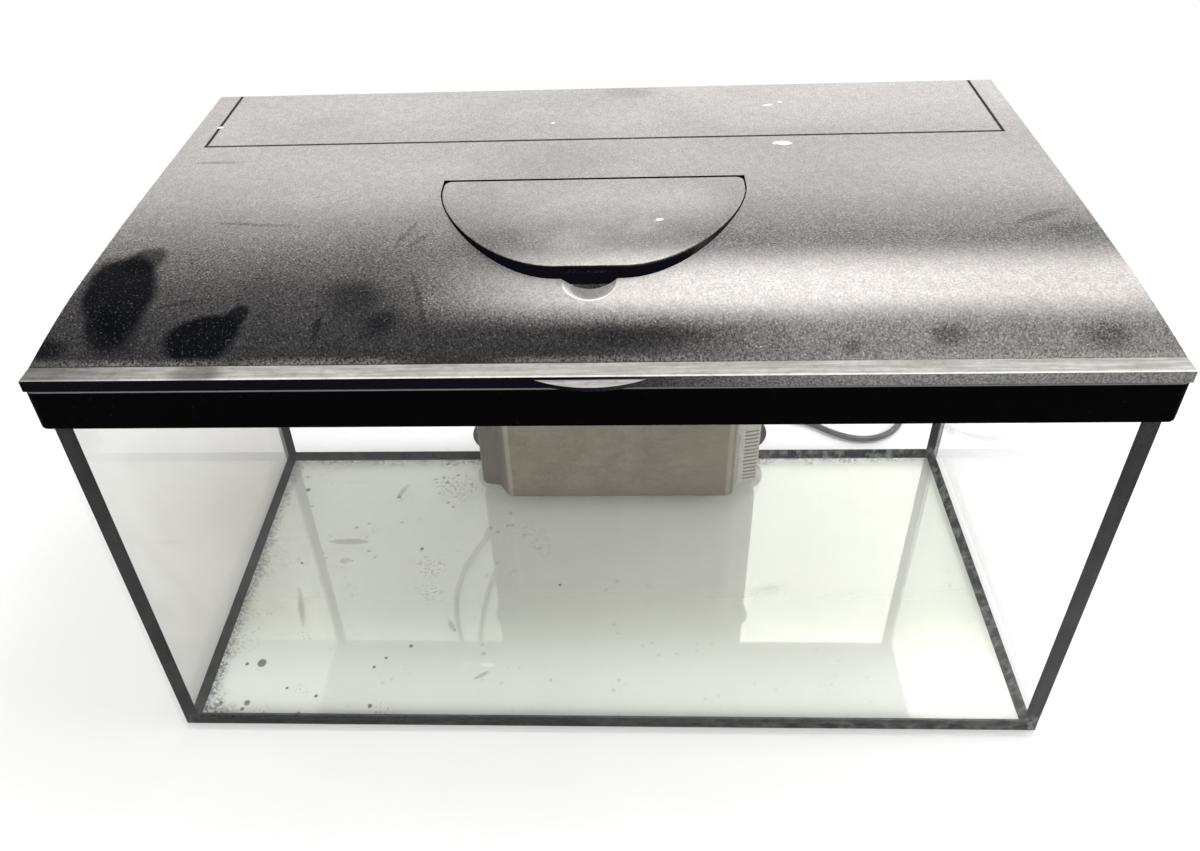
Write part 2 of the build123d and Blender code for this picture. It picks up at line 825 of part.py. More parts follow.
def make_media():
    floor = filter_floor_z + filter_wall + seat_gap
    y0 = filter_front_y + filter_wall + seat_gap
    y1 = filter_rear_y - filter_wall - seat_gap
    left = filter_x + partition_left + filter_wall / 2 + seat_gap
    right = filter_x + partition_right - filter_wall / 2 - seat_gap
    middle = (left + right) / 2
    save("sponge", block(left, middle - seat_gap, y0, y1, floor, floor + sponge_height))
    basket = block(middle, right, y0, y1, floor, floor + basket_height)
    wall = basket_wall
    basket -= block(middle + wall, right - wall, y0 + wall, y1 - wall, floor + wall, floor + basket_height)
    slot_front = y0 + basket_slot_margin
    slot_rear = y1 - basket_slot_margin
    for level in range(basket_slot_count):
        z = floor + basket_slot_low + basket_slot_pitch * level
        basket -= block(middle, right, slot_front, slot_rear, z, z + basket_slot_height)
    save("media_basket", basket)
    gap = wall + seat_gap
    fleece_top = floor + basket_height - fleece_drop
    save("fleece_pad", block(middle + gap, right - gap, y0 + gap, y1 - gap, floor + gap, fleece_top))


def make_cups():
    """One outline, drawn as (radius, Y), is turned round Y for every cup."""
    glass_y = inner_y - seat_gap
    button_rear = filter_rear_y - filter_wall - seat_gap
    button_front = button_rear - cup_button_thickness
    outline = [
        (0, button_front),
        (cup_button, button_front),
        (cup_button, button_rear),
        (cup_neck, button_rear),
        (cup_neck, filter_rear_y + seat_gap),
        (cup_neck + cup_shoulder, filter_rear_y + 2 * seat_gap),
        (cup_radius, glass_y - cup_lip),
        (cup_radius, glass_y),
        (cup_radius - cup_lip_width, glass_y),
        (cup_neck, glass_y - 2 * cup_lip),
        (0, glass_y - 2 * cup_lip),
    ]
    cup = revolve(polygon(outline), axis=Axis.Y)
    save("suction_cups", [Pos(x, 0, z) * cup for x, z in cup_places()])


# Pump


pump_floor = filter_floor_z + filter_wall + seat_gap
pump_deck = pump_floor + pump_height
pump_top = pump_deck + volute_height
rotor_low = pump_deck - rotor_length
well_low = rotor_low - rotor_lift
shaft_low = well_low - shaft_socket
cap_low = pump_top + seat_gap
cap_top = cap_low + pump_cap_thickness
shaft_high = cap_low + pump_cap_thickness / 2


def make_pump():
    x = filter_x + volute_x
    y = volute_y
    left = filter_x + pump_left
    right = filter_x + pump_right
    chamber_floor = pump_deck + volute_wall
    body = block(left, right, pump_front_y, pump_rear_y, pump_floor, pump_deck)
    body = fillet(body.edges().filter_by(Axis.Z), pump_corner)
    body += rod_z(volute_radius, pump_deck, pump_top, x, y)
    body -= rod_z(volute_radius - volute_wall, chamber_floor, pump_top, x, y)
    body -= rod_z(rotor_well, well_low, chamber_floor, x, y)
    body -= rod_z(shaft_radius, shaft_low, well_low, x, y)
    save("pump_body", body)

    cap = rod_z(volute_radius, cap_low, cap_top, x, y)
    cap -= rod_z(shaft_radius, cap_low, shaft_high, x, y)
    ring = volute_radius / 2
    for index in range(cap_hole_count):
        turn = 2 * math.pi * index / cap_hole_count
        cap -= rod_z(cap_hole_radius, cap_low, cap_top, x + ring * math.cos(turn), y + ring * math.sin(turn))
    save("pump_cap", cap)

    vane_low = chamber_floor + vane_gap * seat_gap
    vane_top = vane_low + vane_height
    vane_reach = volute_radius - volute_wall - vane_gap
    impeller = rod_z(rotor_radius, rotor_low, vane_top, x, y)
    vane = block(0, vane_reach, -vane_thickness / 2, vane_thickness / 2, vane_low, vane_top)
    for index in range(vane_count):
        impeller += Pos(x, y, 0) * Rot(0, 0, 360 * index / vane_count) * vane
    impeller -= rod_z(shaft_radius + shaft_fit, rotor_low, vane_top, x, y)
    save("impeller", impeller)
    save("impeller_shaft", rod_z(shaft_radius, shaft_low, shaft_high, x, y))


# Outlet


def make_outlet():
    x = filter_x + pipe_x
    start = (x, pipe_y, pump_deck + seat_gap)
    end = (x, filter_front_y - pipe_stand_out, pipe_z)
    route = FilletPolyline(start, (x, pipe_y, pipe_z), end, radius=pipe_bend)
    foot = Plane(origin=start, z_dir=(0, 0, 1))
    tube = sweep(foot * Circle(pipe_radius), path=route) - sweep(foot * Circle(pipe_bore), path=route)
    save("outlet_pipe", tube)

    back = filter_front_y - 2 * seat_gap
    front = back - nozzle_length
    root = Plane(origin=(x, front, pipe_z), x_dir=(1, 0, 0), z_dir=(0, -1, 0))
    mouth = root.offset(nozzle_snout)
    lip = 2 * nozzle_lip
    outer = RectangleRounded(nozzle_mouth_width, nozzle_mouth_height, nozzle_mouth_height / 3)
    inner = RectangleRounded(nozzle_mouth_width - lip, nozzle_mouth_height - lip, nozzle_mouth_height / 6)
    outer_root = RectangleRounded(nozzle_root_width, nozzle_root_height, nozzle_root_corner)
    inner_root = RectangleRounded(2 * pipe_bore, pipe_bore, pipe_bore / 4)
    nozzle = rod_y(nozzle_radius, front, back, x, pipe_z)
    nozzle += loft([root * outer_root, mouth * outer])
    nozzle -= loft([root * inner_root, mouth * inner])
    nozzle -= rod_y(pipe_bore / 2, front, back, x, pipe_z)
    nozzle -= rod_y(pipe_radius + nozzle_fit, back - nozzle_cup, back, x, pipe_z)
    save("outlet_nozzle", nozzle)


# Mains cord: the route is one list of points, from the gland to the coil

gland_elbow_x = filter_x - filter_half - gland_collar
gland_end_x = gland_elbow_x - gland_length * math.cos(math.radians(gland_tilt))
gland_end_z = gland_z + gland_length * math.sin(math.radians(gland_tilt))
first_turn_x = gland_end_x - first_run * math.cos(math.radians(gland_tilt))
first_turn_z = gland_end_z + first_run * math.sin(math.radians(gland_tilt))
coil_entry_x = coil_x + coil_radius
coil_entry_y = coil_y - cord_diameter

cord_route = [
    (gland_end_x, gland_y, gland_end_z),
    (first_turn_x, gland_y, first_turn_z),
    (-143, inner_y - 15, 138),
    (-157, inner_y - 18, 178),
    (-159, inner_y - 19, 222),
    (-154, inner_y - 19, 270),
    (-150, inner_y - 18, 316),
    (-148, frame_y + 14.7, 316),
    (-143, frame_y + 15.7, 269),
    (-131, frame_y + 13.7, 216),
    (-112, frame_y + 12.7, 162),
    (-98, frame_y + 11.7, 108),
    (-88, frame_y + 14.7, 54),
    (-66, frame_y + 30.7, cord_floor),
    (-15, frame_y + 51.7, cord_floor),
    (45, frame_y + 61.7, cord_floor),
    (100, frame_y + 59.7, cord_floor),
    (150, frame_y + 53.7, cord_floor),
    (190, frame_y + 42.7, cord_floor),
    (213, frame_y + 22.7, cord_floor),
    (237, frame_y + 13.7, cord_floor),
    (260, frame_y + 19.7, cord_floor),
    (277, frame_y + 37.7, cord_floor),
    (284, frame_y + 61.7, cord_floor),
    (coil_entry_x, frame_y + 86.7, cord_floor),
    (coil_entry_x, coil_entry_y, cord_floor),
]


def route_radii(points):
    """The radius of the arc at each inner point, so that it takes a fixed share of the shorter run."""
    radii = []
    for before, here, after in zip(points, points[1:], points[2:]):
        run_in = Vector(*here) - Vector(*before)
        run_out = Vector(*after) - Vector(*here)
        half_turn = math.radians(run_in.get_angle(run_out)) / 2
        radii.append(bend_share * min(run_in.length, run_out.length) / math.tan(half_turn))
    return radii


def make_gland():
    """An elbowed strain relief: a neck through the wall, a collar, and a tapered spout."""
    wall_x = filter_x - filter_half
    neck = rod_x(cord_radius, wall_x - gland_overlap, wall_x + filter_wall, gland_y, gland_z)
    collar = rod_x(gland_foot, gland_elbow_x, wall_x, gland_y, gland_z)
    knee = Pos(gland_elbow_x, gland_y, gland_z) * Sphere(gland_foot)
    middle = Pos((gland_elbow_x + gland_end_x) / 2, gland_y, (gland_z + gland_end_z) / 2)
    spout = middle * Rot(0, gland_tilt - 90, 0) * Cone(gland_foot, gland_tip, gland_length)
    save("cord_gland", neck + collar + knee + spout)


def make_free_cord():
    radii = route_radii(cord_route)
    path = FilletPolyline(*cord_route, radius=radii)
    start = Vector(*cord_route[0])
    first_run = Vector(*cord_route[1]) - start
    tube = sweep(Plane(origin=start, z_dir=first_run) * Circle(cord_radius), path=path)
    ratio = tube.volume / (math.pi * cord_radius**2 * path.length)
    print("cord_free radii", [round(radius, 1) for radius in radii])
    print("cord_free length", round(path.length, 1), "volume ratio", round(ratio, 5))
    save("cord_free", tube)
    return path.length


def coil_point(turn):
    """A point of the coil's middle line, which spirals in below and out again above."""
    from_middle = turn - coil_turns / 2
    if abs(from_middle) >= 0.25:
        drawn_in = coil_turns / 2 - abs(from_middle)
    else:
        drawn_in = coil_turns / 2 - 0.125 - 2 * from_middle**2
    climb = min(max((from_middle + 0.25) / 0.5, 0), 1)
    radius = coil_radius - coil_pitch * drawn_in
    angle = 2 * math.pi * turn
    height = cord_floor + coil_layer * climb * climb * (3 - 2 * climb)
    return Vector(coil_x + radius * math.cos(angle), coil_y + radius * math.sin(angle), height)


def coil_tangent(turn):
    """The direction of the coil's middle line."""
    step = 1e-4
    if turn <= 0 or turn >= coil_turns:
        return Vector(0, 1, 0)
    return (coil_point(turn + step) - coil_point(turn - step)).normalized()


def tangent_pair(start, start_dir, end, end_dir):
    """Two arcs that leave start along start_dir and reach end along end_dir."""
    across = end - start
    both = start_dir + end_dir
    a = 2 * (start_dir.dot(end_dir) - 1)
    b = -2 * across.dot(both)
    c = across.dot(across)
    reach = (-b - math.sqrt(b * b - 4 * a * c)) / (2 * a)
    first_corner = start + start_dir * reach
    last_corner = end - end_dir * reach
    join = (first_corner + last_corner) * 0.5
    return [arc_by_corner(start, first_corner, join), arc_by_corner(join, last_corner, end)]


def arc_by_corner(start, corner, end):
    """The arc that is tangent to both legs of an even-sided corner."""
    chord_middle = (start + end) * 0.5
    to_corner = corner - chord_middle
    half_chord = (end - start).length / 2
    lean = math.atan2(to_corner.length, half_chord)
    apex = chord_middle + to_corner.normalized() * (half_chord * math.tan(lean / 2))
    return ThreePointArc(start, apex, end)


def make_coil():
    spans = round(coil_turns * coil_spans_per_turn)
    entry = Vector(coil_entry_x, coil_entry_y, cord_floor)
    edges = [Line(entry, coil_point(0))]
    for index in range(spans):
        here = index / coil_spans_per_turn
        there = (index + 1) / coil_spans_per_turn
        edges += tangent_pair(coil_point(here), coil_tangent(here), coil_point(there), coil_tangent(there))
    last = coil_point(coil_turns)
    exit_point = last + Vector(0, cord_diameter, 0)
    edges.append(Line(last, exit_point))
    path = Wire([edge if isinstance(edge, Edge) else edge.edge() for edge in edges])
    tube = sweep(Plane(origin=entry, z_dir=(0, 1, 0)) * Circle(cord_radius), path=path)
    length = sum(edge.length for edge in path.edges())
    ratio = tube.volume / (math.pi * cord_radius**2 * length)
    places = range(coil_check_steps + 1)
    middles = [coil_point(coil_turns * place / coil_check_steps) for place in places]
    apart = round(coil_check_steps / coil_turns / 3)
    nearest = min((middles[i] - middles[j]).length for i in places for j in places[i + apart:])
    print("cord_coil length", round(length, 1), "volume ratio", round(ratio, 5))
    print("cord_coil least gap to itself", round(nearest - cord_diameter, 3))
    save("cord_coil", tube)
    return length, exit_point


def make_plug(start):
    z = start.Z
    x = start.X
    relief_middle = Pos(x, start.Y + relief_length / 2, z) * Rot(-90, 0, 0)
    save("plug_relief", relief_middle * Cone(relief_tip, relief_foot, relief_length))
    body_start = start.Y + relief_length
    body_end = body_start + plug_length
    body = Pos(x, (body_start + body_end) / 2, z) * Box(plug_width, plug_length, plug_height)
    save("plug_body", fillet(body.edges().filter_by(Axis.Y), plug_height / 4))
    pins = []
    for side in (-1, 1):
        pin_x = x + side * plug_pin_spacing / 2
        pin = rod_y(plug_pin_radius, body_end, body_end + plug_pin_length, pin_x, z)
        pins.append(fillet(pin.edges().sort_by(Axis.Y)[-1], plug_pin_radius / 2))
    save("plug_pins", pins)


make_panes()
make_seams()
make_frame()
make_hood()
make_flap()
make_lamp()
make_filter_box()
make_media()
make_cups()
make_pump()
make_outlet()
make_gland()
free_length = make_free_cord()
coil_length, coil_end = make_coil()
make_plug(coil_end)
print("cord length in all", round(free_length + coil_length))
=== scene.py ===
import math
import random

import bmesh
import bpy
from mathutils import Matrix, Vector, noise


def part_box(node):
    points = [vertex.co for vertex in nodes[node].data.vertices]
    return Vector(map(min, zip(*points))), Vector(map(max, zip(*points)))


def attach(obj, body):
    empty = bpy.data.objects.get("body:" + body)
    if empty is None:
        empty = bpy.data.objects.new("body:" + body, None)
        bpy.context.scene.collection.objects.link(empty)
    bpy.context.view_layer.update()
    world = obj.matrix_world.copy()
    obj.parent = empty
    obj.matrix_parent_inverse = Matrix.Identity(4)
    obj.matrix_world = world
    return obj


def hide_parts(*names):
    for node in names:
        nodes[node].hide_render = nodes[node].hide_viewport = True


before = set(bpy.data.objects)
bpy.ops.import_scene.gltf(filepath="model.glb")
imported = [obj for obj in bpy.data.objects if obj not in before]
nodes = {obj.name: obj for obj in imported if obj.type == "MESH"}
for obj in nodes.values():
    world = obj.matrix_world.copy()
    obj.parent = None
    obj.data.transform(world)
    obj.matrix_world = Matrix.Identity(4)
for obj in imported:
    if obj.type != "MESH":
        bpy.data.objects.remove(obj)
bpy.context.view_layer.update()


# Stage
camera_place = (0.01738, -0.58263, 0.62719)
camera_pitch, camera_roll, camera_yaw = 39.067, -2.727, 3.779
camera_lens = 31.1165
camera_shift = (0.0233, 0.0036)
floor_half = 6
floor_drop = 0.0006
background_light = 0.6
white = (1, 1, 1, 1)

# Crumbs of scale, which stand on the hood's skin
hood_skin = 0.34695
crumb_height = 0.0006
crumb_sides = 14


# Finishes: values are worked on with the usual signs


class Value:
    """One output of a node."""

    def __init__(self, maker, output):
        self.maker = maker
        self.output = output

    def work(self, operation, first, second):
        return self.maker.node("Math", {0: first, 1: second}, operation=operation)

    def __add__(self, other):
        return self.work("ADD", self, other)

    def __radd__(self, other):
        return self.work("ADD", other, self)

    def __sub__(self, other):
        return self.work("SUBTRACT", self, other)

    def __rsub__(self, other):
        return self.work("SUBTRACT", other, self)

    def __mul__(self, other):
        return self.work("MULTIPLY", self, other)

    def __rmul__(self, other):
        return self.work("MULTIPLY", other, self)

    def __truediv__(self, other):
        return self.work("DIVIDE", self, other)

    def __rtruediv__(self, other):
        return self.work("DIVIDE", other, self)

    def __pow__(self, other):
        return self.work("POWER", self, other)

    def most(self, other):
        return self.work("MAXIMUM", self, other)

    def least(self, other):
        return self.work("MINIMUM", self, other)


class Maker:
    """Makes the nodes of one world or material."""

    def __init__(self, owner):
        owner.use_nodes = True
        self.tree = owner.node_tree
        self.tree.nodes.clear()

    def node(self, kind, inputs=None, output=0, stops=None, **settings):
        made = self.tree.nodes.new("ShaderNode" + kind)
        for name, value in settings.items():
            setattr(made, name, value)
        if stops:
            ramp = made.color_ramp
            while len(ramp.elements) < len(stops):
                ramp.elements.new(0.5)
            for element, (position, colour) in zip(ramp.elements, stops):
                element.position = position
                element.color = (*colour, 1)
        for key, value in (inputs or {}).items():
            if isinstance(value, Value):
                self.tree.links.new(value.output, made.inputs[key])
            else:
                made.inputs[key].default_value = value
        return Value(self, made.outputs[output]) if made.outputs else None

    def seen(self):
        """1 for what the camera, a mirror or clear glass looks at, and 0 for light on a surface."""
        kinds = ("Camera", "Glossy", "Transmission")
        camera, glossy, transmission = [self.node("LightPath", output=f"Is {kind} Ray") for kind in kinds]
        return camera.most(glossy).most(transmission)


class Finish(Maker):
    """A material, with its place on the part as x, y and z in metres."""

    def __init__(self, name):
        self.material = bpy.data.materials.new(name)
        super().__init__(self.material)
        self.point = self.node("TexCoord", output="Object")
        self.x, self.y, self.z = self.parts(self.point)

    def parts(self, vector):
        split = self.node("SeparateXYZ", {0: vector})
        return [Value(self, output) for output in split.output.node.outputs]

    def facing_up(self):
        """How far the surface looks up: 1 is level, 0 upright, and below 0 it looks down."""
        normal = self.node("NewGeometry", output="Normal")
        turned = self.node(
            "VectorTransform", {0: normal}, vector_type="NORMAL", convert_from="WORLD", convert_to="OBJECT"
        )
        return self.parts(turned)[2]

    def size(self, value):
        """A value without its sign."""
        return self.node("Math", {0: value}, operation="ABSOLUTE")

    def stretched(self, x, y, z):
        return self.node("Mapping", {"Vector": self.point, "Scale": (x, y, z)})

    def noise(self, scale, detail=3.0, roughness=0.5, distortion=0.0, point=None):
        return self.node(
            "TexNoise",
            {
                "Vector": point or self.point,
                "Scale": scale,
                "Detail": detail,
                "Roughness": roughness,
                "Distortion": distortion,
            },
        )

    def cells(self, scale, dimensions="3D"):
        inputs = {"Vector": self.point, "Scale": scale}
        return self.node("TexVoronoi", inputs, output="Distance", voronoi_dimensions=dimensions)

    def fade(self, value, low, high, start=0.0, end=1.0):
        """A smooth step from start to end as a value goes from low to high, which may be the smaller."""
        return self.node(
            "MapRange",
            {"Value": value, 1: low, 2: high, 3: start, 4: end},
            interpolation_type="SMOOTHSTEP",
            clamp=True,
        )

    def curve(self, value, stops):
        """A value read off a row of (place, level) stops, with places from 0 to 1."""
        greys = [(place, (level, level, level)) for place, level in stops]
        ramp = self.node("ValToRGB", {0: value}, stops=greys)
        return self.node("RGBToBW", {0: ramp})

    def mixed(self, share, first, second, blend_type="MIX"):
        first, second = [(*c, 1) if isinstance(c, tuple) and len(c) == 3 else c for c in (first, second)]
        return self.node(
            "Mix", {0: share, 6: first, 7: second}, output=2, data_type="RGBA", blend_type=blend_type
        )

    def bump(self, height, distance, strength=1.0):
        return self.node("Bump", {"Height": height, "Distance": distance, "Strength": strength})

    def surface(self, **inputs):
        """Ends the material with one Principled shader, whose inputs are named in lower case."""
        plain = {}
        for word, value in inputs.items():
            if isinstance(value, tuple) and len(value) == 3:
                value = (*value, 1)
            plain[word.replace("_", " ").title().replace("Ior", "IOR")] = value
        shader = self.node("BsdfPrincipled", plain)
        self.node("OutputMaterial", {"Surface": shader})
        return self.material


def spot(finish, x, y, wide, deep, turn=0.0, edge=0.5, warp=None):
    """A soft oval mark on a level surface, with its middle at 1."""
    c, s = math.cos(math.radians(turn)), math.sin(math.radians(turn))
    along = ((finish.x - x) * (c / wide)) + ((finish.y - y) * (s / wide))
    across = ((finish.y - y) * (c / deep)) - ((finish.x - x) * (s / deep))
    reach = (along * along + across * across) ** 0.5
    if warp is not None:
        reach = reach + warp
    return finish.fade(reach, 1.0, 1.0 - edge)


# Lights, floor and camera


def make_camera():
    pitch, roll, yaw = (math.radians(angle) for angle in (camera_pitch, camera_roll, camera_yaw))
    ahead = Vector((-math.sin(yaw) * math.cos(pitch), math.cos(yaw) * math.cos(pitch), -math.sin(pitch)))
    right = Vector((math.cos(yaw), math.sin(yaw), 0))
    up = right.cross(ahead)
    turned_right = right * math.cos(roll) + up * math.sin(roll)
    turned_up = up * math.cos(roll) - right * math.sin(roll)
    data = bpy.data.cameras.new("camera")
    data.sensor_width = 36
    data.lens = camera_lens
    data.shift_x, data.shift_y = camera_shift
    data.clip_start = 0.01
    camera = bpy.data.objects.new("camera", data)
    camera.matrix_world = Matrix.Translation(camera_place) @ Matrix(
        (turned_right, turned_up, -ahead)
    ).transposed().to_4x4()
    bpy.context.scene.collection.objects.link(camera)
    bpy.context.scene.camera = camera


def make_light(name, place, target, width, depth, watts, colour=(1, 1, 1)):
    data = bpy.data.lights.new(name, "AREA")
    data.shape = "RECTANGLE"
    data.size = width
    data.size_y = depth
    data.energy = watts
    data.color = colour
    light = bpy.data.objects.new(name, data)
    light.location = place
    light.rotation_euler = (Vector(target) - Vector(place)).to_track_quat("-Z", "Y").to_euler()
    light.visible_camera = False
    bpy.context.scene.collection.objects.link(light)


def make_world(level):
    """A white background, and a plainer level of it on everything that is lit."""
    world = bpy.data.worlds.new("studio")
    bpy.context.scene.world = world
    maker = Maker(world)
    strength = level + (1 - level) * maker.seen()
    background = maker.node("Background", {"Color": white, "Strength": strength})
    maker.node("OutputWorld", {"Surface": background})


def make_floor():
    """A pale floor that keeps the shadow and turns into the white background away from the tank."""
    mesh = bpy.data.meshes.new("floor")
    shape = bmesh.new()
    bmesh.ops.create_grid(shape, x_segments=8, y_segments=8, size=floor_half)
    shape.to_mesh(mesh)
    shape.free()
    floor = bpy.data.objects.new("floor", mesh)
    floor.location = (0, 0, -floor_drop)
    bpy.context.scene.collection.objects.link(floor)
    finish = Finish("floor")
    tone = finish.mixed(finish.noise(9, 4), (0.68, 0.68, 0.676), (0.72, 0.72, 0.715))
    lit = finish.node("BsdfPrincipled", {"Base Color": tone, "Roughness": 0.9, "Specular IOR Level": 0.1})
    backdrop = finish.node("Emission", {"Color": white, "Strength": 1.0})
    across, along = finish.x / 0.75, finish.y / 0.62
    away = finish.fade((across * across + along * along) ** 0.5, 0.62, 1.15)
    blended = finish.node("MixShader", {0: away * finish.seen(), 1: lit, 2: backdrop})
    finish.node("OutputMaterial", {"Surface": blended})
    mesh.materials.append(finish.material)


# Cord: one smooth line from the filter's gland to the plug, through the coil behind the tank

cord_route = [
    (-118, 132.75, 98.66),
    (-126, 132.75, 112.5),
    (-143, 130, 138),
    (-157, 127, 178),
    (-159, 126, 222),
    (-154, 126, 270),
    (-150, 127, 316),
    (-148, 168, 316),
    (-143, 169, 269),
    (-131, 167, 216),
    (-112, 166, 162),
    (-98, 165, 108),
    (-88, 168, 54),
    (-66, 184, 3),
    (-15, 205, 3),
    (45, 215, 3),
    (100, 213, 3),
    (150, 207, 3),
    (190, 196, 3),
    (213, 176, 3),
    (237, 167, 3),
    (260, 173, 3),
    (277, 191, 3),
    (284, 215, 3),
    (278.5, 240, 3),
    (278.5, 262.4, 3),
]
cord_radius = 0.0028
cord_foot = 3
coil_middle = (240, 268)
coil_radius = 38.5
coil_turns = 3
coil_pitch = 6.4
coil_layer = 6.3


def coil_place(turn):
    """A point of the coil, which winds in on the floor and out again on top."""
    from_middle = turn - coil_turns / 2
    if abs(from_middle) >= 0.25:
        drawn_in = coil_turns / 2 - abs(from_middle)
    else:
        drawn_in = coil_turns / 2 - 0.125 - 2 * from_middle**2
    climb = min(max((from_middle + 0.25) / 0.5, 0), 1)
    radius = coil_radius - coil_pitch * drawn_in
    angle = 2 * math.pi * turn
    height = cord_foot + coil_layer * climb * climb * (3 - 2 * climb)
    return (coil_middle[0] + radius * math.cos(angle), coil_middle[1] + radius * math.sin(angle), height)


def make_cord(finish):
    per_turn = 16
    coil = [coil_place(index / per_turn) for index in range(coil_turns * per_turn + 1)]
    end = (coil[-1][0], coil[-1][1] + 5.6, coil[-1][2])
    points = [*cord_route, *coil, end]
    data = bpy.data.curves.new("cord", "CURVE")
    data.dimensions = "3D"
    spline = data.splines.new("NURBS")
    spline.points.add(len(points) - 1)
    for point, place in zip(spline.points, points):
        point.co = (*[value / 1000 for value in place], 1)
    spline.order_u = 3
    spline.use_endpoint_u = True
    spline.resolution_u = 6
    data.bevel_depth = cord_radius
    data.bevel_resolution = 6
    data.use_fill_caps = True
    data.materials.append(finish)
    cord = bpy.data.objects.new("cord", data)
    bpy.context.scene.collection.objects.link(cord)
    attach(cord, "tank")
    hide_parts("cord_free", "cord_coil")


# Finishes of the tank


def pane_glass(
    name, haze_low, haze_high, haze_colour, streaks, gloss, dirt=None, painted_front_haze=0.0, painted_front_colour=None,
    soil_colour=(0.012, 0.012, 0.01),
):
    """Clear glass: it mirrors more at a slant, a film of dried water lies on it, and a paler film towards
    the front can give painted light on the front of a pane.
    """
    finish = Finish(name)
    slant = finish.node("LayerWeight", {"Blend": 0.5}, output="Facing")
    mirror = gloss + (1 - gloss) * slant**5
    film = finish.noise(5, 4, 0.5)
    runs = finish.noise(1, 4, 0.55, 0.0, finish.stretched(90, 90, 5))
    grain = finish.noise(420, 2)
    haze = haze_low + (haze_high - haze_low) * finish.fade(film, 0.38, 0.66)
    haze = haze + streaks * finish.fade(runs, 0.55, 0.75) * finish.fade(grain, 0.3, 0.8)
    # Painted light: a paler film towards the front
    haze = haze + painted_front_haze * finish.fade(finish.y, 0.0, -0.12)
    tone = haze_colour
    if dirt:
        soil = dirt(finish)
        haze = haze + soil * (1 - haze)
        # The colour of the painted light towards the front
        tone = finish.mixed(finish.fade(finish.y, -0.02, -0.12), haze_colour, painted_front_colour or haze_colour)
        tone = finish.mixed(soil / haze.most(0.01), tone, soil_colour)
    whole = 1 - (1 - mirror) * (1 - haze)
    metal = mirror / (mirror + haze)
    return finish.surface(
        base_color=finish.mixed(metal, tone, (1.0, 1.0, 1.0)),
        metallic=metal,
        roughness=0.03,
        alpha=whole,
    )


# Specks on the base: place and half size
base_specks = [
    (-0.2683, 0.0986, 0.0026), (-0.1839, 0.089, 0.002), (-0.1537, 0.0248, 0.0022),
    (-0.2897, 0.0319, 0.002), (-0.1468, -0.078, 0.0021), (-0.164, -0.0895, 0.0016),
    (-0.1716, -0.098, 0.0015), (-0.2578, -0.0948, 0.0038), (-0.2691, -0.0958, 0.0016),
    (-0.1681, -0.1328, 0.002), (-0.2191, -0.1402, 0.0021), (-0.2591, -0.131, 0.0028),
    (-0.2784, -0.1312, 0.0019), (-0.2329, -0.1176, 0.0013), (-0.2096, -0.1245, 0.0015),
    (-0.1457, 0.1335, 0.0016), (-0.2521, 0.0086, 0.0015), (-0.0357, -0.0154, 0.0014),
    (-0.2612, -0.1363, 0.0018), (-0.1149, -0.0622, 0.0011),
]


# Smudges on the base: middle, half sizes, turn, strength and softness of edge
base_smudges = [
    (-0.2175, 0.0335, 0.019, 0.0036, 0, 0.42, 0.4),
    (-0.241, -0.04, 0.0032, 0.026, 18, 0.4, 0.6),
    (-0.182, 0.096, 0.003, 0.012, -22, 0.36, 0.6),
    (-0.2165, 0.0115, 0.006, 0.004, 10, 0.35, 0.7),
    (-0.118, -0.058, 0.003, 0.009, 28, 0.4, 0.6),
    (-0.09, -0.105, 0.009, 0.0022, 34, 0.4, 0.6),
    (0.13, -0.02, 0.02, 0.008, 15, 0.12, 0.8),
]


def base_dirt(finish):
    """Mould along the seams, dark specks, and long faint scratches on the base."""
    top = finish.fade(finish.z, 0.004, 0.0048)
    ragged = (finish.noise(90, 5, 0.7) - 0.5) * 0.03
    left = finish.fade(finish.x + ragged, -0.279, -0.291)
    corner = finish.fade(finish.x + finish.y + ragged * 1.6, -0.396, -0.424)
    back = finish.fade(finish.y - ragged, 0.131, 0.142)
    mould = (left.most(corner).most(back)) * finish.fade(finish.noise(380, 4, 0.7), 0.44, 0.56)
    near = finish.fade(finish.cells(62, "2D"), 0.12, 0.07)
    chosen = finish.fade(finish.noise(31, 2), 0.52, 0.6) * finish.fade(finish.noise(6, 2), 0.42, 0.55)
    specks = near * chosen * finish.fade(finish.x, 0.12, -0.2, 0.1, 0.7)
    for x, y, size in base_specks:
        specks = specks.most(spot(finish, x, y, size, size * 1.1, 0, 0.4, ragged * 30))
    fine = finish.fade(finish.cells(260, "2D"), 0.24, 0.14)
    fine = fine * finish.fade(finish.noise(17, 4, 0.7), 0.55, 0.65)
    fine = fine * finish.fade(finish.x, 0.0, -0.15, 0.25, 1.0)
    turned = finish.node("Mapping", {"Vector": finish.point, "Rotation": (0, 0, 0.35), "Scale": (9, 420, 1)})
    lines = finish.fade(finish.noise(1, 2, 0.5, 0.0, turned), 0.71, 0.76)
    lines = lines * finish.fade(finish.noise(14, 2), 0.5, 0.62)
    soil = (mould * 0.9).most(specks * 0.9).most(fine * 0.45).most(lines * 0.3)
    for x, y, wide, deep, turn, strength, edge in base_smudges:
        soil = soil.most(spot(finish, x, y, wide, deep, turn, edge) * strength)
    return soil * top


def left_dirt(finish):
    """Broad slanting bands of dried water on the left pane."""
    slope = finish.y * 0.8 + finish.z * 0.6 + (finish.noise(5, 3) - 0.5) * 0.1
    band = finish.fade(slope, -0.02, 0.06) * finish.fade(slope, 0.2, 0.1)
    low = finish.fade(finish.z, 0.24, 0.04)
    return 0.1 * band + 0.22 * low


